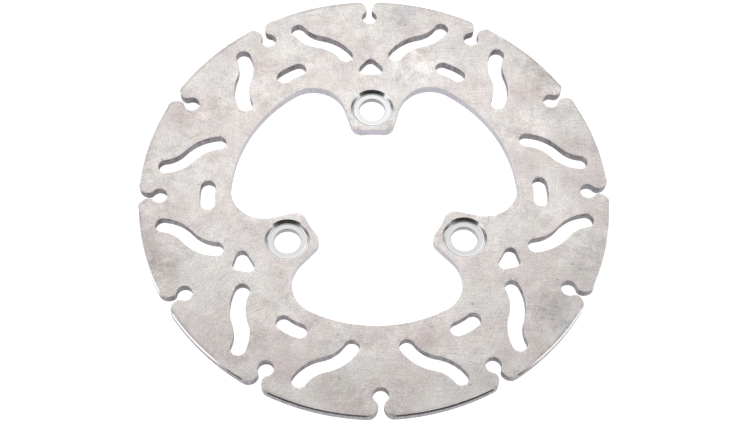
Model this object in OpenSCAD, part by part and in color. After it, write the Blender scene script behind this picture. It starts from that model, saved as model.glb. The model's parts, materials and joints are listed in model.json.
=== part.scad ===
// Motorcycle brake disc: one flat steel plate with a slotted friction ring
// and three ears that bolt to the wheel hub.
// Origin: centre of the disc on the flat face that rests on the hub.
// +Z points through the plate to the outer face, where the bolt seats are sunk.
// +Y points at one of the three bolts.

/* [Plate] */
// Outside diameter of the friction ring
disc_d = 187; // [184:0.5:200]
// Thickness of the plate
disc_t = 4; // [3.5:0.1:5]
// Chamfer turned on both corners of the outer edge
rim_chamfer = 0.5; // [0.1:0.05:0.8]

/* [Hub opening] */
// Radius of the bays between the ears
bay_r = 57.1; // [56:0.1:57.6]
// Radius of the round pocket where an ear leaves the ring
pocket_r = 13.5; // [12:0.5:15]
// Diameter of the circle that the tips of the ears lie on
spigot_d = 58.8; // [54:0.2:60]

/* [Ears] */
// Width of an ear at the bolt circle
ear_w = 22.2; // [21:0.1:24]
// Slope of each side of an ear, from straight out
ear_taper = 16.5; // [14:0.5:18]
// Radius of the corners at the tip of an ear
ear_corner_r = 4.5; // [3:0.1:5]

/* [Bolt seats] */
// Number of ears, each with one bolt
bolt_count = 3; // [2, 3]
// Diameter of the bolt circle
bolt_pcd = 80; // [78:0.5:81]
// Diameter of the bolt hole
bolt_hole_d = 10.5; // [8:0.1:11]
// Diameter of the sunk seat at the outer face
seat_d = 17.4; // [16.6:0.1:18]
// Diameter of the flat floor of the seat
seat_floor_d = 15.2; // [13:0.1:16]
// Depth of the seat
seat_depth = 1.7; // [0.5:0.1:2.5]

/* [Rim notches] */
// Number of notches in the rim
notch_count = 12; // [6, 12]
// Radius of the round inner end of a notch
notch_r = 3.1; // [2.5:0.1:3.1]
// Distance from the rim to the centre of the round inner end
notch_depth = 8.45; // [8.45:0.05:9]
// Width of the neck that opens the notch to the rim
neck_w = 2.2; // [2.2:0.1:3.4]
// Radius of the nose between the neck and the round end
nose_r = 2; // [1.6:0.1:2]
// Radius of the lip between the neck and the rim
lip_r = 4.2; // [3.5:0.1:4.2]

/* [Wave slots] */
// Number of pairs of wave slots
wave_pairs = 6; // [3, 6]
// Width of a wave slot
wave_w = 6; // [4:0.1:6.5]
// Distance from the disc's centre to the middle of a wave slot
wave_at = 75.7; // [75:0.1:76.5]
// Angle from the middle of a pair to the middle of each of its slots
wave_spread = 16.1; // [15:0.1:17]
// Angle between the middle of a slot and the circle that it crosses
wave_lean = 27.1; // [24:0.1:30]
// Radius and sweep of the bend nearer the rim
wave_outer_bend = [14.7, 43.2]; // [12:0.1:45]
// Radius and sweep of the bend nearer the hub
wave_inner_bend = [16.8, 44.4]; // [12:0.1:45]

/* [Short slots] */
// Number of short slots
short_count = 6; // [3, 6]
// Width of a short slot
short_w = 6; // [4:0.1:6.5]
// Distance from the disc's centre to the middle of a short slot
short_at = 66.2; // [65:0.1:67]
// Radius and sweep of the bend in a short slot
short_bend = [23, 17.6]; // [15:0.1:30]

/* [Corner windows] */
// Distance from the disc's centre to the centre of the outer corner
window_tip_at = 61.5; // [60.5:0.1:62]
// Distance from the disc's centre to the line through the two inner corners
window_base_at = 58.75; // [58.5:0.05:59.5]
// Distance between the centres of the two inner corners
window_base_w = 4.9; // [4:0.1:6]
// Radius of the three corners
window_corner_r = 2.5; // [1.5:0.1:2.5]

/* [Hidden] */
$fn = 180;

past = 1; // how far a cut runs past each face
lap = 0.004; // how far shapes that meet smoothly overlap, so that their edges cross cleanly

disc_r = disc_d / 2;
spigot_r = spigot_d / 2;
bolt_r = bolt_pcd / 2;

// The side of an ear is a line: a point on it, its direction and its normal.
side_point = [ear_w / 2, bolt_r];
side_along = [sin(ear_taper), cos(ear_taper)];
side_out = [cos(ear_taper), -sin(ear_taper)];

// The round corner at the ear's tip touches the side and the spigot circle.
// The pocket touches the side and the bay's arc.
corner_c = point_at(side_point - ear_corner_r * side_out, side_along, spigot_r + ear_corner_r - lap);
pocket_c = point_at(side_point + pocket_r * side_out, side_along, bay_r - pocket_r + lap);

// A lip touches the rim and the neck. The nose carries the neck on inward.
lip_x = neck_w / 2 + lip_r;
lip_y = sqrt(pow(disc_r - lip_r + lap, 2) - pow(lip_x, 2));
lip_c = [lip_x, lip_y];
nose_c = [neck_w / 2 + nose_r, lip_y];
notch_c = [0, disc_r - notch_depth];

// The straight between the round end and the nose touches both circles.
nose_dir = atan2(nose_c.y - notch_c.y, nose_c.x - notch_c.x);
straight_out = unit(nose_dir - acos((notch_r + nose_r) / norm(nose_c - notch_c)));

// Point on the line through p along u that lies at distance reach from the origin
function point_at(p, u, reach) = p + u * (sqrt(pow(p * u, 2) - p * p + pow(reach, 2)) - p * u);

// Unit vector at angle a
function unit(a) = [cos(a), sin(a)];

// The point moved out along its own radius to distance reach
function moved_out(p, reach) = p * reach / norm(p);

// A list of points on the +X side, then the same points mirrored on the -X side
function both_sides(points) = concat(points, [for (i = [len(points) - 1:-1:0]) [-points[i].x, points[i].y]]);

// Outward unit normal of the edge from a to b of an anticlockwise outline
function edge_normal(a, b) = [b.y - a.y, a.x - b.x] / norm(b - a);

// A flat shape cut right through the plate
module through() {
    translate([0, 0, -past]) linear_extrude(height = disc_t + 2 * past) children();
}

// A circle of radius r round c, and its mirror image on the -X side
module circle_pair(c, r) {
    for (side = [-1, 1]) translate([side * c.x, c.y]) circle(r = r);
}

// A slot of width w bent round the origin, cut right through the plate.
// bend is its radius and sweep, from its first angle. It gets a round end
// at each of round_ends: 0 is its start and 1 is its finish.
module bent_slot(bend, from, w, round_ends) {
    rotate([0, 0, from]) rotate_extrude(angle = bend[1]) translate([bend[0] - w / 2, -past])
        square([w, disc_t + 2 * past]);
    for (end = round_ends) rotate([0, 0, from + end * bend[1]]) translate([bend[0], 0, -past])
        cylinder(r = w / 2 + lap, h = disc_t + 2 * past);
}

// Flat shape of one ear with its two pocket blends, along +Y, running on into the ring
module ear_shape() {
    difference() {
        union() {
            polygon(both_sides([
                moved_out(corner_c, spigot_r - past),
                corner_c,
                corner_c + (ear_corner_r - lap) * side_out,
                pocket_c - (pocket_r - lap) * side_out,
                pocket_c,
                moved_out(pocket_c, bay_r + past),
                [corner_c.x, disc_r]
            ]));
            circle_pair(corner_c, ear_corner_r);
        }
        circle(r = spigot_r);
        circle_pair(pocket_c, pocket_r);
    }
}

// The opening round the hub: a round hole less the ears
module hub_opening() {
    through() difference() {
        circle(r = bay_r);
        for (i = [0:bolt_count - 1]) rotate(360 / bolt_count * i) ear_shape();
    }
}

// One bolt hole with the sunk seat round it, on +Y
module bolt_seat() {
    translate([0, bolt_r, -past]) cylinder(d = bolt_hole_d, h = disc_t + 2 * past);
    widening = (seat_d - seat_floor_d) / seat_depth;
    translate([0, bolt_r, disc_t - seat_depth])
        cylinder(d1 = seat_floor_d, d2 = seat_d + widening * past, h = seat_depth + past);
}

// One rim notch on +Y: round end, straights, noses, neck and lips
module rim_notch() {
    through() {
        translate(notch_c) circle(r = notch_r);
        difference() {
            polygon(both_sides([
                notch_c + (notch_r - lap) * straight_out,
                nose_c - (nose_r - lap) * straight_out,
                nose_c
            ]));
            circle_pair(nose_c, nose_r);
        }
        difference() {
            polygon(both_sides([lip_c, moved_out(lip_c, disc_r + past)]));
            circle_pair(lip_c, lip_r);
        }
    }
}

// One wave slot on the +X side of +Y: two opposite bends that meet at its middle
module wave_slot() {
    rotate([0, 0, -wave_spread]) translate([0, wave_at, 0]) rotate([0, 0, wave_lean]) {
        translate([0, wave_outer_bend[0], 0]) bent_slot(wave_outer_bend, -90, wave_w, [1]);
        translate([0, -wave_inner_bend[0], 0]) bent_slot(wave_inner_bend, 90, wave_w, [1]);
    }
}

// One short slot on +Y, bowed outward
module short_slot() {
    translate([0, short_at - short_bend[0], 0])
        bent_slot(short_bend, 90 - short_bend[1] / 2, short_w, [0, 1]);
}

// One three-cornered window on +Y, its point outward
module corner_window() {
    corners = [
        [0, window_tip_at],
        [-window_base_w / 2, window_base_at],
        [window_base_w / 2, window_base_at]
    ];
    through() {
        for (corner = corners) translate(corner) circle(r = window_corner_r);
        polygon([for (i = [0:2]) let (a = corners[i], b = corners[(i + 1) % 3],
            off = (window_corner_r - lap) * edge_normal(a, b)) each [a + off, b + off]]);
    }
}

// The plate before cutting, with its chamfered rim
module blank() {
    rotate_extrude() polygon([
        [0, 0],
        [disc_r - rim_chamfer, 0],
        [disc_r, rim_chamfer],
        [disc_r, disc_t - rim_chamfer],
        [disc_r - rim_chamfer, disc_t],
        [0, disc_t]
    ]);
}

module brake_disc() {
    color("silver") difference() {
        blank();
        hub_opening();
        for (i = [0:bolt_count - 1]) rotate([0, 0, 360 / bolt_count * i]) {
            bolt_seat();
            corner_window();
        }
        for (i = [0:notch_count - 1]) rotate([0, 0, 360 / notch_count * i]) rim_notch();
        for (i = [0:wave_pairs - 1]) rotate([0, 0, 360 / wave_pairs * i])
            for (flip = [0, 1]) mirror([flip, 0, 0]) wave_slot();
        for (i = [0:short_count - 1]) rotate([0, 0, 360 / short_count * (i + 0.5)]) short_slot();
    }
}

brake_disc();
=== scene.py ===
"""A ground steel motorcycle brake disc on a pale studio table.

The disc is one piece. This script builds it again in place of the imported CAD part, at the same sizes,
with fine arcs, broken edges and a fillet in each bolt seat, and gives it its materials.
Lengths are in metres. The frame is the part's own: +Z is the outer face and +Y one of the bolts.
"""
import json
import math

import bmesh
import bpy
from mathutils import Matrix, Vector
from mathutils.geometry import delaunay_2d_cdt
from mathutils.kdtree import KDTree


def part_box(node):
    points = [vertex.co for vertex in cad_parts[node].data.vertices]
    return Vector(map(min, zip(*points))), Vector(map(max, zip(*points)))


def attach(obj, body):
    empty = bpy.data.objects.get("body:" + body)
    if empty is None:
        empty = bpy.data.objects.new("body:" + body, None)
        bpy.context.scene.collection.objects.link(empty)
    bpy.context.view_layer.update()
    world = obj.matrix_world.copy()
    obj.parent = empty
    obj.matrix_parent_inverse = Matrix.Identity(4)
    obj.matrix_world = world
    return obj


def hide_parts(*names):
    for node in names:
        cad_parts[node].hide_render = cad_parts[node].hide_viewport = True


MM = 0.001
TURN = 360

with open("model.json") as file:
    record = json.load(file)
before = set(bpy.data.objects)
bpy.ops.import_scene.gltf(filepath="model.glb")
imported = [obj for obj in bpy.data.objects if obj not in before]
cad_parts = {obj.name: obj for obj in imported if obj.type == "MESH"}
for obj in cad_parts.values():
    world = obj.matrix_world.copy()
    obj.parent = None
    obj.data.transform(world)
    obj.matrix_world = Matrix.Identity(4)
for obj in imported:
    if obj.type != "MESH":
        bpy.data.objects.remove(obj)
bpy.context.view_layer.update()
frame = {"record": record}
disc_low, disc_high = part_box("brake_disc")
bolts = next(m for m in frame["record"]["mounts"] if m["kind"] == "bolt_pattern")["dims"]

# Plate
DISC_R = 93.5 * MM
DISC_T = disc_high.z - disc_low.z
RIM_CHAMFER = 0.5 * MM
EDGE_BREAK = 0.14 * MM

# Hub opening and ears
BAY_R = 57.1 * MM
POCKET_R = 13.5 * MM
SPIGOT_R = 29.4 * MM
EAR_W = 22.2 * MM
EAR_TAPER = 16.5
EAR_CORNER_R = 4.5 * MM

# Bolt seats
BOLT_COUNT = bolts["count"]
BOLT_R = bolts["pcd_mm"] / 2 * MM
HOLE_R = bolts["hole_r_mm"] * MM
SEAT_R = 8.7 * MM
SEAT_FLOOR_R = 7.6 * MM
SEAT_DEPTH = 1.7 * MM
SEAT_EDGE = 0.1 * MM
SEAT_FILLET = 0.8 * MM
HOLE_EDGE = 0.2 * MM

# Rim notches
NOTCH_COUNT = 12
NOTCH_R = 3.1 * MM
NOTCH_DEPTH = 8.45 * MM
NECK_W = 2.2 * MM
NOSE_R = 2 * MM
LIP_R = 4.2 * MM

# Wave slots, with the radius and sweep of each bend
WAVE_PAIRS = 6
WAVE_W = 6 * MM
WAVE_AT = 75.7 * MM
WAVE_SPREAD = 16.1
WAVE_LEAN = 27.1
WAVE_OUTER_BEND = (14.7 * MM, 43.2)
WAVE_INNER_BEND = (16.8 * MM, 44.4)

# Short slots
SHORT_COUNT = 6
SHORT_W = 6 * MM
SHORT_AT = 66.2 * MM
SHORT_BEND = (23 * MM, 17.6)

# Corner windows
WINDOW_TIP_AT = 61.5 * MM
WINDOW_BASE_AT = 58.75 * MM
WINDOW_BASE_W = 4.9 * MM
WINDOW_CORNER_R = 2.5 * MM

# Mesh fineness: the largest turn in degrees and the longest straight between two points of an outline,
# and the share of that straight below which two points count as one
ARC_STEP = 6
CHORD = 1.2 * MM
SAME = 0.01
# Steps down a broken edge and down a fillet
EDGE_STEPS = 3
FILLET_STEPS = 6
# Spacing of the points that fill a flat face, and how far they keep from its edges
FACE_GRID = 3 * MM
FACE_MARGIN = 1.2 * MM
# How far a point may lie from the rim's circle and still be on it, and the length of an edge to dissolve
ON_CIRCLE = 1e-3 * MM
SHORTEST_EDGE = 1e-4 * MM
# Distance below which the fill of a face treats two of its points as one, in metres
WELD = 1e-9
# Edges that bend by more degrees than this are shaded as sharp
SHARP_ANGLE = 34

# Each surface's place in the piece's list of materials
# The hub walls are cut like the slots; their material, also on the small edge atop each bolt hole, is that
# steel without the slots' painted shade
GROUND, TURNED, CUT, UNSHADED_WALL, SEAT, BORE = range(6)


# ---------------------------------------------------------------- outlines
# An outline is a closed list of (point, normal). The normal points out of the steel.

def unit(angle):
    return Vector((math.cos(math.radians(angle)), math.sin(math.radians(angle))))


def angle_of(vector):
    return math.degrees(math.atan2(vector.y, vector.x))


def arc(centre, radius, start, sweep, hollow):
    """Points round centre from angle start through sweep. Round a hollow arc, the steel lies outside."""
    by_turn = abs(sweep) / ARC_STEP
    by_length = radius * math.radians(abs(sweep)) / CHORD
    steps = max(2, math.ceil(max(by_turn, by_length)))
    side = -1 if hollow else 1
    turns = [unit(start + sweep * i / steps) for i in range(steps + 1)]
    return [(centre + radius * u, side * u) for u in turns]


def mirrored(run):
    """The run mirrored to the other side of the Y axis, in the order that carries an outline on."""
    return [(Vector((-p.x, p.y)), Vector((-n.x, n.y))) for p, n in reversed(run)]


def moved(run, turn=0, shift=(0, 0)):
    """The run turned round the origin and then shifted."""
    rotation = Matrix.Rotation(math.radians(turn), 2)
    return [(rotation @ p + Vector(shift), rotation @ n) for p, n in run]


def closed(run):
    """The run as an outline, with repeated points dropped and its straights split into even steps."""
    outline = []
    for i, (point, normal) in enumerate(run):
        last = run[i - 1][0]
        steps = math.ceil((point - last).length / CHORD - SAME)
        outline += [(last.lerp(point, (step + 1) / steps), normal) for step in range(steps)]
    return outline


def round_array(run, count, first=0):
    return [moved(run, first + TURN / count * i) for i in range(count)]


def point_at(p, along, reach):
    """Point on the line through p along a unit vector that lies at distance reach from the origin."""
    return p + along * (math.sqrt((p @ along) ** 2 - p @ p + reach ** 2) - p @ along)


def hub_outline():
    """The opening round the hub: a bay, then an ear, three times."""
    side_point = Vector((EAR_W / 2, BOLT_R))
    side_along = unit(90 - EAR_TAPER)
    side_out = unit(-EAR_TAPER)
    corner = point_at(side_point - EAR_CORNER_R * side_out, side_along, SPIGOT_R + EAR_CORNER_R)
    pocket = point_at(side_point + POCKET_R * side_out, side_along, BAY_R - POCKET_R)
    origin = Vector((0, 0))
    half_ear = (
        arc(pocket, POCKET_R, angle_of(pocket), 180 - EAR_TAPER - angle_of(pocket), True)
        + arc(corner, EAR_CORNER_R, -EAR_TAPER, angle_of(corner) - 180 + EAR_TAPER, False)
    )
    tip = arc(origin, SPIGOT_R, angle_of(corner), 180 - 2 * angle_of(corner), True)
    bay_start = 180 - angle_of(pocket)
    bay = arc(origin, BAY_R, bay_start, TURN / BOLT_COUNT + angle_of(pocket) - bay_start, True)
    third = half_ear + tip + mirrored(half_ear) + bay
    return closed(sum(round_array(third, BOLT_COUNT), []))


def rim_outline():
    """The outer edge: a notch, then an arc of the rim, twelve times."""
    lip_x = NECK_W / 2 + LIP_R
    lip = Vector((lip_x, math.sqrt((DISC_R - LIP_R) ** 2 - lip_x ** 2)))
    nose = Vector((NECK_W / 2 + NOSE_R, lip.y))
    notch = Vector((0, DISC_R - NOTCH_DEPTH))
    meeting = angle_of(nose - notch) - math.degrees(math.acos((NOTCH_R + NOSE_R) / (nose - notch).length))
    lip_start = angle_of(lip)
    half_notch = (
        arc(lip, LIP_R, lip_start, 180 - lip_start, False)
        + arc(nose, NOSE_R, 180, meeting, False)
        + arc(notch, NOTCH_R, meeting, -meeting - 90, True)
    )
    step = TURN / NOTCH_COUNT
    rim = arc(Vector((0, 0)), DISC_R, 180 - lip_start, step + 2 * lip_start - 180, False)
    return closed(sum(round_array(half_notch + mirrored(half_notch) + rim, NOTCH_COUNT), []))


def bend_side(bend, width, start):
    """Half of a bent slot's outline: its outer side and the round end, then back along its inner side."""
    radius, sweep = bend
    end = start + sweep
    origin = Vector((0, 0))
    return (
        arc(origin, radius + width / 2, start, sweep, True)
        + arc(radius * unit(end), width / 2, end, 180, True)
        + arc(origin, radius - width / 2, end, -sweep, False)
    )


def wave_outlines():
    """Six mirrored pairs of wave slots, each of two opposite bends."""
    outer = moved(bend_side(WAVE_OUTER_BEND, WAVE_W, -90), shift=(0, WAVE_OUTER_BEND[0]))
    inner = moved(bend_side(WAVE_INNER_BEND, WAVE_W, 90), shift=(0, -WAVE_INNER_BEND[0]))
    slot = moved(moved(outer + inner, WAVE_LEAN, (0, WAVE_AT)), -WAVE_SPREAD)
    return round_array(closed(slot), WAVE_PAIRS) + round_array(closed(mirrored(slot)), WAVE_PAIRS)


def short_outlines():
    """Six short slots, bowed outward, half-way between the middles of the wave pairs."""
    radius, sweep = SHORT_BEND
    start = 90 - sweep / 2
    far_end = arc(radius * unit(start), SHORT_W / 2, start + 180, 180, True)
    slot = moved(bend_side(SHORT_BEND, SHORT_W, start) + far_end, shift=(0, SHORT_AT - radius))
    return round_array(closed(slot), SHORT_COUNT, TURN / SHORT_COUNT / 2)


def window_outlines():
    """Three windows with three round corners each, between an ear and a wave pair."""
    half_base = WINDOW_BASE_W / 2
    corners = [
        Vector((0, WINDOW_TIP_AT)),
        Vector((-half_base, WINDOW_BASE_AT)),
        Vector((half_base, WINDOW_BASE_AT)),
    ]
    facing = [angle_of(corners[(i + 1) % 3] - corners[i]) - 90 for i in range(3)]
    window = []
    for i, corner in enumerate(corners):
        window += arc(corner, WINDOW_CORNER_R, facing[i - 1], (facing[i] - facing[i - 1]) % TURN, True)
    return round_array(closed(window), BOLT_COUNT)


def bolt_outlines():
    hole = arc(Vector((0, BOLT_R)), HOLE_R, 0, TURN, True)
    return round_array(closed(hole), BOLT_COUNT)


# ---------------------------------------------------------------- mesh
# A profile runs down a wall from the outer face to the hub face, as (inset, z, material below).
# The inset is measured from the outline into the steel.

def quarter(radius, steps, outward_first):
    """Insets and drops of a quarter round of that radius, from the face to the wall or back."""
    turns = [unit(90 * i / steps) for i in range(steps + 1)]
    points = [(radius * (1 - turn.y), radius * (1 - turn.x)) for turn in turns]
    return points if outward_first else points[::-1]


def wall_profile(surface):
    """A plain wall with both edges broken."""
    top = [(inset, DISC_T - drop, GROUND) for inset, drop in quarter(EDGE_BREAK, EDGE_STEPS, True)]
    bottom = [(inset, rise, GROUND) for inset, rise in quarter(EDGE_BREAK, EDGE_STEPS, False)]
    return top[:-1] + [(*top[-1][:2], surface)] + bottom


def rim_profile():
    """A wall with broken edges, and room beyond them for the chamfer that is turned on the rim."""
    inner = [(RIM_CHAMFER, DISC_T, GROUND)]
    outer = [(RIM_CHAMFER, 0, GROUND)]
    return inner + wall_profile(CUT) + outer


def seat_profile():
    """A bolt hole with the seat that is turned into the outer face, a fillet at the foot of its wall."""
    floor_z = DISC_T - SEAT_DEPTH
    rim, corner = SEAT_R - HOLE_R, SEAT_FLOOR_R - HOLE_R
    slope = math.degrees(math.atan2(SEAT_R - SEAT_FLOOR_R, SEAT_DEPTH))
    start = corner - SEAT_FILLET * math.tan(math.radians(45 - slope / 2))
    turns = [unit((90 - slope) * (1 - i / FILLET_STEPS)) for i in range(FILLET_STEPS + 1)]
    fillet = [(start + SEAT_FILLET * turn.y, floor_z + SEAT_FILLET * (1 - turn.x), SEAT) for turn in turns]
    edge = quarter(EDGE_BREAK, EDGE_STEPS, False)
    return [
        (rim + SEAT_EDGE, DISC_T, SEAT),
        (rim, DISC_T - SEAT_EDGE, SEAT),
        *fillet,
        (HOLE_EDGE, floor_z, UNSHADED_WALL),
        (0, floor_z - HOLE_EDGE, BORE),
        *[(inset, rise, GROUND) for inset, rise in edge],
    ]


def turned_height(point, z):
    """z held inside the cone of the chamfer that is turned on both corners of the rim."""
    cut = max(0, point.length - (DISC_R - RIM_CHAMFER))
    return min(max(z, cut), DISC_T - cut)


def build_wall(mesh, outline, profile):
    """Rings of vertices down the profile, joined by faces. Returns the first ring and the last."""
    rings = []
    for inset, z, _ in profile:
        ring = []
        for point, normal in outline:
            place = point - inset * normal
            ring.append(mesh.verts.new((*place, turned_height(place, z))))
        rings.append(ring)
    on_rim = [abs(point.length - DISC_R) < ON_CIRCLE for point, _ in outline]
    for level, (_, _, surface) in enumerate(profile[:-1]):
        upper, lower = rings[level], rings[level + 1]
        for i in range(len(outline)):
            corners = [upper[i - 1], upper[i], lower[i], lower[i - 1]]
            face = mesh.faces.new(corners)
            chamfered = on_rim[i - 1] and on_rim[i] and surface == GROUND
            face.material_index = TURNED if chamfered else surface
    return rings[0], rings[-1]


def steel_side(edge):
    """A function that says how far a flat point lies inside the steel.

    It measures from the nearest (point, normal) of edge.
    """
    tree = KDTree(len(edge))
    for i, (point, _) in enumerate(edge):
        tree.insert((*point, 0), i)
    tree.balance()

    def depth(place):
        _, i, distance = tree.find((*place, 0))
        point, normal = edge[i]
        return distance if (place - point) @ normal < 0 else -distance

    return depth


def build_face(mesh, rings, outlines, z):
    """Fills the flat face between the rings with even triangles. Each ring follows one of the outlines."""
    edge_verts = [vert for ring in rings for vert in ring]
    points = [vert.co.xy for vert in edge_verts]
    normals = [normal for outline in outlines for _, normal in outline]
    depth = steel_side(list(zip(points, normals)))
    edges = []
    first = 0
    for ring in rings:
        edges += [(first + i, first + (i + 1) % len(ring)) for i in range(len(ring))]
        first += len(ring)
    rows = int(DISC_R / FACE_GRID) + 1
    for row in range(-rows, rows + 1):
        for column in range(-rows, rows + 1):
            place = Vector((column + 0.5 * (row % 2), row * math.sqrt(0.75))) * FACE_GRID
            if depth(place) > FACE_MARGIN:
                points.append(place)
    flat, _, triangles, sources, _, _ = delaunay_2d_cdt(points, edges, [], 0, WELD)
    verts = {}
    for triangle in triangles:
        if depth(sum((flat[i] for i in triangle), Vector((0, 0))) / 3) < 0:
            continue
        for i in triangle:
            source = sources[i][0] if sources[i] else len(edge_verts)
            if i not in verts:
                on_edge = source < len(edge_verts)
                verts[i] = edge_verts[source] if on_edge else mesh.verts.new((*flat[i], z))
        mesh.faces.new([verts[i] for i in triangle]).material_index = GROUND


def build_disc():
    """The whole disc as one closed mesh."""
    walls = [(rim_outline(), rim_profile()), (hub_outline(), wall_profile(UNSHADED_WALL))]
    slots = wave_outlines() + short_outlines() + window_outlines()
    walls += [(outline, wall_profile(CUT)) for outline in slots]
    walls += [(outline, seat_profile()) for outline in bolt_outlines()]
    mesh = bmesh.new()
    ends = [build_wall(mesh, outline, profile) for outline, profile in walls]
    outlines = [outline for outline, _ in walls]
    build_face(mesh, [top for top, _ in ends], outlines, DISC_T)
    build_face(mesh, [bottom for _, bottom in ends], outlines, 0)
    bmesh.ops.dissolve_degenerate(mesh, dist=SHORTEST_EDGE, edges=mesh.edges)
    bmesh.ops.recalc_face_normals(mesh, faces=mesh.faces)
    for face in mesh.faces:
        face.smooth = True
    data = bpy.data.meshes.new("disc")
    mesh.to_mesh(data)
    mesh.free()
    data.set_sharp_from_angle(angle=math.radians(SHARP_ANGLE))
    disc = bpy.data.objects.new("disc", data)
    bpy.context.scene.collection.objects.link(disc)
    shading = disc.modifiers.new("even_shading", "WEIGHTED_NORMAL")
    shading.keep_sharp = True
    shading.weight = 100
    return disc


# ---------------------------------------------------------------- materials

class Nodes:
    """A short way to write nodes. An input may be a number, a vector, a colour or another node's output."""

    def __init__(self, tree):
        self.tree = tree

    def set_inputs(self, made, inputs):
        for key, value in inputs.items():
            if isinstance(value, bpy.types.NodeSocket):
                self.tree.links.new(value, made.inputs[key])
            else:
                made.inputs[key].default_value = value

    def add(self, kind, inputs, **settings):
        made = self.tree.nodes.new(kind)
        for key, value in settings.items():
            setattr(made, key, value)
        self.set_inputs(made, inputs)
        return made

    def axes(self, vector):
        return self.add("ShaderNodeSeparateXYZ", {0: vector}).outputs

    def joined(self, x, y, z=0.0):
        return self.add("ShaderNodeCombineXYZ", {0: x, 1: y, 2: z}).outputs[0]

    def vector(self, operation, a, b):
        return self.add("ShaderNodeVectorMath", {0: a, 1: b}, operation=operation).outputs[0]

    def length(self, vector):
        return self.add("ShaderNodeVectorMath", {0: vector}, operation="LENGTH").outputs["Value"]

    def math(self, operation, a, b=0.0):
        return self.add("ShaderNodeMath", {0: a, 1: b}, operation=operation).outputs[0]

    def noise(self, vector, scale, detail=3.0, roughness=0.5, output="Fac"):
        inputs = {"Vector": vector, "Scale": scale, "Detail": detail, "Roughness": roughness}
        return self.add("ShaderNodeTexNoise", inputs).outputs[output]

    def moved_noise(self, vector, shift, scale, detail=3.0, roughness=0.5):
        """Noise taken from another place, so that it has nothing in common with noise of the same scale."""
        return self.noise(self.vector("ADD", vector, shift), scale, detail, roughness)

    def levels(self, value, low, high, to_low=0.0, to_high=1.0):
        """value taken from low..high to to_low..to_high, eased at both ends."""
        inputs = {"Value": value, "From Min": low, "From Max": high, "To Min": to_low, "To Max": to_high}
        return self.add("ShaderNodeMapRange", inputs, interpolation_type="SMOOTHSTEP").outputs[0]

    def linear(self, value, low, high, to_low, to_high):
        """value taken in proportion from low..high to to_low..to_high, and on beyond both ends."""
        inputs = {"Value": value, "From Min": low, "From Max": high, "To Min": to_low, "To Max": to_high}
        return self.add("ShaderNodeMapRange", inputs, clamp=False).outputs[0]

    def mix(self, factor, a, b, blend="MIX"):
        made = self.add("ShaderNodeMix", {"Factor": factor}, data_type="RGBA", blend_type=blend)
        self.set_inputs(made, {6: a, 7: b})
        return made.outputs[2]

    def shaded(self, colour, factor):
        """The colour made darker or lighter by a factor."""
        return self.add("ShaderNodeVectorMath", {0: colour, "Scale": factor}, operation="SCALE").outputs[0]

    def bump(self, height, distance):
        inputs = {"Height": height, "Strength": 1.0, "Distance": distance}
        return self.add("ShaderNodeBump", inputs).outputs[0]


def new_steel(name):
    """A bare metal's nodes and its shader."""
    material = bpy.data.materials.new(name)
    material.use_nodes = True
    nodes = Nodes(material.node_tree)
    surface = nodes.tree.nodes["Principled BSDF"]
    surface.inputs["Metallic"].default_value = 1.0
    return material, nodes, surface


def object_place(nodes):
    return nodes.add("ShaderNodeTexCoord", {}).outputs["Object"]


# Colours of the bare metal. The cut walls' and the bolt holes' are darkened with painted shade
STEEL = (0.768, 0.736, 0.72, 1)
PINK_STEEL = (0.73, 0.672, 0.66, 1)
SHADED_CUT_STEEL = (0.28, 0.262, 0.285, 1)
RIM_STEEL = (0.33, 0.31, 0.335, 1)
BURNT_STEEL = (0.165, 0.15, 0.155, 1)
HUB_STEEL = (0.50, 0.48, 0.52, 1)
BLUE_HUB_STEEL = (0.45, 0.435, 0.48, 1)
TURNED_STEEL = (0.84, 0.83, 0.825)
# The bolt holes' grey is painted shade: their walls are bright, and this stands for the shaded table they
# reflect
SHADED_BORE_STEEL = (0.33, 0.32, 0.325)
SEAT_STEEL = (0.76, 0.755, 0.76)

# Tints that are laid over a colour
WARM = (1.0, 1.0, 0.975, 1)
DARK = (0.82, 0.80, 0.79, 1)
BLUE = (0.76, 0.79, 0.83, 1)
PINK = (0.95, 0.905, 0.91, 1)
BRIGHT = (1.15, 1.17, 1.17, 1)

# Each stain: its angle in degrees and its distance from the axis in mm, then its half width across the
# ring and its half length round it in mm, and its tint
STAINS = (
    (81, 87, 5, 6, BLUE),
    (322, 86, 6, 7, BLUE),
    (327, 84, 4, 6, DARK),
    (40, 90, 4, 10, DARK),
    (258, 82, 7, 8, DARK),
    (264, 89, 4, 6, DARK),
    (232, 89, 4, 6, DARK),
    (202, 87, 6, 9, DARK),
    (336, 87, 6, 7, DARK),
    (128, 76, 3, 8, PINK),
    (196, 91, 2, 9, DARK),
    (38, 82, 7, 8, PINK),
    (245, 82, 6, 9, PINK),
    (286, 65, 5, 6, PINK),
    (227, 52, 5, 6, PINK),
    (152, 85, 6, 10, PINK),
    (72, 65, 5, 9, BRIGHT),
    (295, 71, 7, 9, BRIGHT),
    (350, 76, 8, 10, BRIGHT),
    (27, 73, 5, 8, BRIGHT),
)

# Each family of grinding lines: the centre of its arcs in metres, and the width and length of a line
GRINDING = (
    ((-0.16, 0.03, 0), 0.5 * MM, 9 * MM),
    ((0.05, 0.19, 0), 0.4 * MM, 7 * MM),
    ((0.03, -0.21, 0), 0.55 * MM, 8 * MM),
)

# The ring's mean radius, at which it is unrolled to place the stains, and how ragged they are
MEAN_R = 75 * MM
RAGGEDNESS = 22 * MM

# The faces darken a little from the first of these distances to the second, where the pads sweep them
SWEPT_FROM = 60 * MM
SWEPT_TO = 88 * MM

# The face darkens beside the chamfer, setting in between these distances
RIM_DARKENING_FROM = 91.4 * MM
RIM_DARKENING_TO = 92.9 * MM

# Factor that drops the height of a place
FLATTEN = (1, 1, 0)


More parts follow.
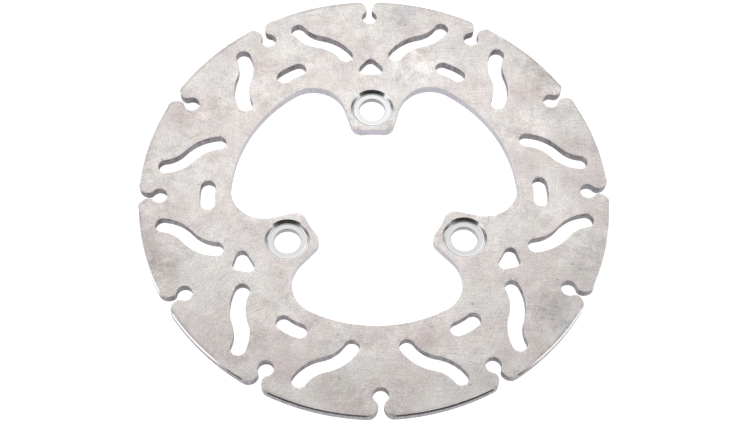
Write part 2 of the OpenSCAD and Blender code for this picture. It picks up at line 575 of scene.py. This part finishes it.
def grinding_lines(nodes, flat):
    """Noise drawn out along crossing families of arcs, each strong in some places and weak in others."""
    total = 0.0
    for centre, spacing, reach in GRINDING:
        offset = nodes.vector("SUBTRACT", flat, centre)
        axes = nodes.axes(offset)
        angle = nodes.math("ARCTAN2", axes[1], axes[0])
        along = nodes.math("MULTIPLY", angle, Vector(centre).length / reach)
        across = nodes.math("DIVIDE", nodes.length(offset), spacing)
        lines = nodes.noise(nodes.joined(across, along), 1.0, 2)
        patches = nodes.levels(nodes.noise(offset, 55, 2), 0.42, 0.62)
        strength = nodes.math("MULTIPLY", nodes.math("SUBTRACT", lines, 0.5), patches)
        total = nodes.math("ADD", strength, total)
    return total


def stained(nodes, colour, flat, patchy):
    """The colour with each stain laid over it. Their outlines are ragged."""
    ragged = nodes.vector("SUBTRACT", nodes.noise(flat, 90, 4, 0.7, "Color"), (0.5, 0.5, 0.5))
    axes = nodes.axes(flat)
    round_way = nodes.math("MULTIPLY", nodes.math("ARCTAN2", axes[1], axes[0]), MEAN_R)
    unrolled = nodes.joined(nodes.length(flat), round_way)
    unrolled = nodes.vector("ADD", unrolled, nodes.shaded(ragged, RAGGEDNESS))
    for angle, distance, half_width, half_length, tint in STAINS:
        turned = angle if angle <= TURN / 2 else angle - TURN
        centre = (distance * MM, math.radians(turned) * MEAN_R, 0)
        offset = nodes.vector("SUBTRACT", unrolled, centre)
        stretch = distance * MM / MEAN_R
        offset = nodes.vector("MULTIPLY", offset, (1 / (half_width * MM), stretch / (half_length * MM), 0))
        inside = nodes.levels(nodes.length(offset), 1.5, 0.2)
        colour = nodes.mix(nodes.math("MULTIPLY", inside, patchy), colour, tint, "MULTIPLY")
    return colour


def ground_colour(nodes, flat):
    """Greyer and pinker patches under a fine drift of warmth, with the stains on top."""
    broad_hue = nodes.moved_noise(flat, (0.3, 0.1, 0), 40, 4, 0.6)
    fine_hue = nodes.moved_noise(flat, (0.5, 0.3, 0), 200, 6, 0.9)
    hue = nodes.math("ADD", broad_hue, nodes.linear(fine_hue, 0.0, 1.0, -0.2, 0.2))
    patchy = nodes.levels(nodes.moved_noise(flat, (0.1, 0.4, 0), 240, 6, 0.85), 0.38, 0.58, 0.35, 1.0)
    warmth = nodes.moved_noise(flat, (0.8, 0.5, 0), 110, 6, 0.9)
    colour = nodes.mix(nodes.levels(hue, 0.47, 0.57), STEEL, PINK_STEEL)
    colour = nodes.mix(nodes.levels(warmth, 0.42, 0.58), colour, WARM, "MULTIPLY")
    return stained(nodes, colour, flat, patchy)


def rim_edge_darkening(nodes, flat):
    """How much darker the face is just inside the chamfer, along some stretches of the rim."""
    stretches = nodes.levels(nodes.moved_noise(flat, (0.4, 0.9, 0), 26, 2), 0.42, 0.62, 0.0, 0.22)
    near_rim = nodes.levels(nodes.length(flat), RIM_DARKENING_FROM, RIM_DARKENING_TO)
    return nodes.math("MULTIPLY", near_rim, stretches)


def specks(nodes, flat):
    """How dark each spot is: a small round speck in one cell out of ten."""
    cells = nodes.add("ShaderNodeTexVoronoi", {"Vector": flat, "Scale": 330.0}).outputs
    chosen = nodes.levels(nodes.axes(cells["Color"])[0], 0.9, 0.92)
    speck = nodes.math("MULTIPLY", nodes.levels(cells["Distance"], 0.16, 0.07), chosen)
    return nodes.math("MULTIPLY", speck, 0.4)


def ground_tone(nodes, flat, mottle, lines):
    """The factor that makes the faces darker or lighter from place to place."""
    uneven = nodes.levels(nodes.moved_noise(flat, (0.6, 0.2, 0), 38, 3), 0.42, 0.6, 0.7, 1.4)
    clouds = nodes.moved_noise(flat, (0.2, 0.7, 0), 45, 3, 0.7)
    grain = nodes.noise(flat, 1500, 3, 0.8)
    tone = nodes.math("MULTIPLY", nodes.linear(mottle, 0.4, 0.6, -0.125, 0.125), uneven)
    tone = nodes.math("ADD", tone, 1.0)
    tone = nodes.math("ADD", tone, nodes.linear(grain, 0.3, 0.7, -0.21, 0.21))
    tone = nodes.math("ADD", tone, nodes.linear(clouds, 0.35, 0.65, -0.04, 0.04))
    tone = nodes.math("ADD", tone, nodes.math("MULTIPLY", lines, 0.42))
    tone = nodes.math("MULTIPLY", tone, nodes.levels(nodes.length(flat), SWEPT_FROM, SWEPT_TO, 1.0, 0.91))
    tone = nodes.math("SUBTRACT", tone, rim_edge_darkening(nodes, flat))
    return nodes.math("SUBTRACT", tone, specks(nodes, flat))


def ground_steel():
    """The ground faces: mottled, with crossing grinding arcs, stains and a few dark specks."""
    material, nodes, surface = new_steel("ground_steel")
    flat = nodes.vector("MULTIPLY", object_place(nodes), FLATTEN)
    mottle = nodes.noise(flat, 120, 8, 0.92)
    lines = grinding_lines(nodes, flat)
    nodes.set_inputs(surface, {
        "Base Color": nodes.shaded(ground_colour(nodes, flat), ground_tone(nodes, flat, mottle, lines)),
        "Roughness": nodes.linear(mottle, 0.4, 0.6, 0.44, 0.38),
        "Normal": nodes.bump(nodes.math("ADD", mottle, lines), 0.01 * MM),
    })
    return material


def turned_steel():
    """The chamfers of the rim: bright, with faint marks round the rim."""
    material, nodes, surface = new_steel("turned_rim")
    squeezed = nodes.vector("MULTIPLY", object_place(nodes), (1, 1, 12))
    marks = nodes.noise(squeezed, 300, 4, 0.7)
    nodes.set_inputs(surface, {
        "Base Color": nodes.shaded(TURNED_STEEL, nodes.linear(marks, 0.3, 0.7, 0.92, 1.05)),
        "Roughness": nodes.linear(marks, 0.3, 0.7, 0.12, 0.18),
    })
    return material


def striations(nodes, place, scale):
    """Noise that changes along a wall but hardly down it, as a cutting beam leaves it."""
    return nodes.noise(nodes.vector("MULTIPLY", place, (1, 1, 0.1)), scale, 4, 0.75)


def cut_steel():
    """The cut walls: dull grey with upright striations and burnt stretches, darkened with painted shade of
    the narrow slots and notches. The rim is lighter.
    """
    material, nodes, surface = new_steel("cut_wall")
    place = object_place(nodes)
    distance = nodes.length(nodes.vector("MULTIPLY", place, FLATTEN))
    lines = striations(nodes, place, 700)
    burnt = nodes.levels(nodes.noise(place, 160, 3, 0.6), 0.46, 0.66)
    # The cut walls' grey is darkened: painted shade of the narrow slots and notches
    colour = nodes.mix(burnt, SHADED_CUT_STEEL, BURNT_STEEL)
    on_rim = nodes.levels(distance, DISC_R - 2 * MM, DISC_R - 0.2 * MM)
    colour = nodes.mix(on_rim, colour, RIM_STEEL)
    tone = nodes.linear(lines, 0.35, 0.65, 0.85, 1.15)
    nodes.set_inputs(surface, {
        "Base Color": nodes.shaded(colour, tone),
        "Roughness": nodes.linear(lines, 0.35, 0.65, 0.55, 0.42),
        "Normal": nodes.bump(lines, 0.03 * MM),
    })
    return material


def bored_steel():
    """The bolt holes: smooth, with faint rings, and darker than the seats with painted shade, the shaded
    table that their bright walls reflect.
    """
    material, nodes, surface = new_steel("bolt_hole")
    squeezed = nodes.vector("MULTIPLY", object_place(nodes), (1, 1, 9))
    rings = nodes.noise(squeezed, 350, 3, 0.7)
    nodes.set_inputs(surface, {
        "Base Color": nodes.shaded(SHADED_BORE_STEEL, nodes.linear(rings, 0.35, 0.65, 0.7, 1.25)),
        "Roughness": 0.14,
    })
    return material


def hub_wall_steel():
    """The walls of the hub opening, cut like the slots: lighter than the cut walls, which carry painted
    shade, with finer striations.
    """
    material, nodes, surface = new_steel("hub_wall")
    place = object_place(nodes)
    lines = striations(nodes, place, 900)
    clouds = nodes.noise(place, 120, 3, 0.6)
    colour = nodes.mix(nodes.levels(clouds, 0.4, 0.6), HUB_STEEL, BLUE_HUB_STEEL)
    nodes.set_inputs(surface, {
        "Base Color": nodes.shaded(colour, nodes.linear(lines, 0.35, 0.65, 0.93, 1.07)),
        "Roughness": 0.45,
        "Normal": nodes.bump(lines, 0.01 * MM),
    })
    return material


def seat_steel():
    """The turned seats: bright, with fine rings round each bolt."""
    material, nodes, surface = new_steel("turned_seat")
    place = object_place(nodes)
    flat = nodes.vector("MULTIPLY", place, FLATTEN)
    nearest = 1.0
    for i in range(BOLT_COUNT):
        centre = BOLT_R * unit(90 + TURN / BOLT_COUNT * i)
        nearest = nodes.math("MINIMUM", nodes.length(nodes.vector("SUBTRACT", flat, (*centre, 0))), nearest)
    rings = nodes.noise(nodes.joined(nearest, 0.0), 2600, 3, 0.7)
    wear = nodes.noise(place, 260, 4, 0.6)
    marks = nodes.math("ADD", nodes.math("MULTIPLY", rings, 0.6), nodes.math("MULTIPLY", wear, 0.4))
    nodes.set_inputs(surface, {
        "Base Color": nodes.shaded(SEAT_STEEL, nodes.linear(marks, 0.35, 0.65, 0.95, 1.04)),
        "Roughness": nodes.linear(wear, 0.3, 0.7, 0.12, 0.2),
        "Normal": nodes.bump(rings, 0.001 * MM),
    })
    return material


# ---------------------------------------------------------------- studio

# The camera's place, the directions of the picture's right and top, and its lens in mm
CAMERA_AT = (-0.02045, -0.27543, 0.50463)
CAMERA_RIGHT = (0.9993, -0.0267, 0.02628)
CAMERA_UP = (0.01115, 0.88177, 0.47155)
CAMERA_LENS = 69.2
CAMERA_NEAR = 0.01

TABLE_R = 8
TABLE_DROP = 0.2 * MM

# The tent's light. The back's grows with y from BACK_LIGHT at y = 0, and is held between two limits.
BACK_LIGHT = 0.33
BACK_GROWTH = 2.44
BACK_LEAST = 0.5
BACK_MOST = 1.5
BACK_ON_RIGHT = 0.75
BACK_AT_HORIZON = 0.55
SIDE_LIGHT = 0.95
# The share of the light that the opening in front takes away
OPENING_DARKNESS = 0.91


def make_camera():
    camera = bpy.data.objects.new("camera", bpy.data.cameras.new("camera"))
    bpy.context.scene.collection.objects.link(camera)
    right = Vector(CAMERA_RIGHT).normalized()
    back = right.cross(Vector(CAMERA_UP)).normalized()
    up = back.cross(right)
    camera.matrix_world = Matrix.Translation(CAMERA_AT) @ Matrix((right, up, back)).transposed().to_4x4()
    camera.data.lens = CAMERA_LENS
    camera.data.clip_start = CAMERA_NEAR
    bpy.context.scene.camera = camera


def make_table():
    """A pale table that glows a little, as a light table does."""
    place = (0, 0, -TABLE_DROP)
    bpy.ops.mesh.primitive_circle_add(vertices=96, radius=TABLE_R, fill_type="NGON", location=place)
    table = bpy.context.object
    table.name = "table"
    material = bpy.data.materials.new("table")
    material.use_nodes = True
    nodes = Nodes(material.node_tree)
    nodes.set_inputs(nodes.tree.nodes["Principled BSDF"], {
        "Base Color": (0.5, 0.5, 0.5, 1),
        "Roughness": 0.9,
        "Specular IOR Level": 0.0,
        "Emission Color": (1, 1, 1, 1),
        "Emission Strength": 0.9,
    })
    table.data.materials.append(material)


def back_light(nodes, x, y, z):
    """Bright behind the disc, a little weaker on the right and near the horizon."""
    growth = nodes.math("EXPONENT", nodes.math("MULTIPLY", y, BACK_GROWTH))
    light = nodes.math("MULTIPLY", growth, BACK_LIGHT)
    light = nodes.math("MAXIMUM", nodes.math("MINIMUM", light, BACK_MOST), BACK_LEAST)
    light = nodes.math("MULTIPLY", light, nodes.linear(x, 0.0, 1.0, 1.0, BACK_ON_RIGHT))
    return nodes.math("MULTIPLY", light, nodes.levels(z, 0.0, 0.8, BACK_AT_HORIZON, 1.0))


def side_light(nodes, x, y):
    """A panel on the left and one on the right. They end before the back."""
    light = nodes.levels(nodes.math("ABSOLUTE", x), 0.5, 0.8, 0.0, SIDE_LIGHT)
    return nodes.math("MULTIPLY", light, nodes.levels(y, 0.5, 0.2))


def front_opening(nodes, y, z):
    """1 in the opening low in front, and 0 elsewhere."""
    level = nodes.math("SQRT", nodes.math("SUBTRACT", 1.0, nodes.math("MULTIPLY", z, z)))
    frontness = nodes.math("DIVIDE", nodes.math("MULTIPLY", y, -1.0), nodes.math("MAXIMUM", level, 0.001))
    return nodes.math("MULTIPLY", nodes.levels(frontness, 0.48, 0.6), nodes.levels(z, 0.5, 0.3))


def make_studio():
    """A white tent, brighter behind the disc and at its sides, with a dark opening in front.

    x, y and z are the parts of the direction in which the light is seen. The camera sees plain white.
    """
    world = bpy.data.worlds.new("studio")
    bpy.context.scene.world = world
    world.use_nodes = True
    nodes = Nodes(world.node_tree)
    x, y, z = nodes.axes(nodes.add("ShaderNodeTexCoord", {}).outputs["Generated"])
    tent = nodes.math("ADD", back_light(nodes, x, y, z), side_light(nodes, x, y))
    shade = nodes.math("MULTIPLY", front_opening(nodes, y, z), OPENING_DARKNESS)
    glow = nodes.math("MULTIPLY", tent, nodes.math("SUBTRACT", 1.0, shade))
    seen = nodes.add("ShaderNodeLightPath", {}).outputs["Is Camera Ray"]
    strength = nodes.add("ShaderNodeMix", {0: seen, 2: glow, 3: 1.0}, data_type="FLOAT").outputs[0]
    nodes.set_inputs(nodes.tree.nodes["Background"], {"Color": (1, 1, 1, 1), "Strength": strength})
    bpy.context.scene.view_settings.view_transform = "Standard"


make_camera()
make_studio()
make_table()

disc = build_disc()
for make_steel in (ground_steel, turned_steel, cut_steel, hub_wall_steel, seat_steel, bored_steel):
    disc.data.materials.append(make_steel())
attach(disc, "root")
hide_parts("brake_disc")
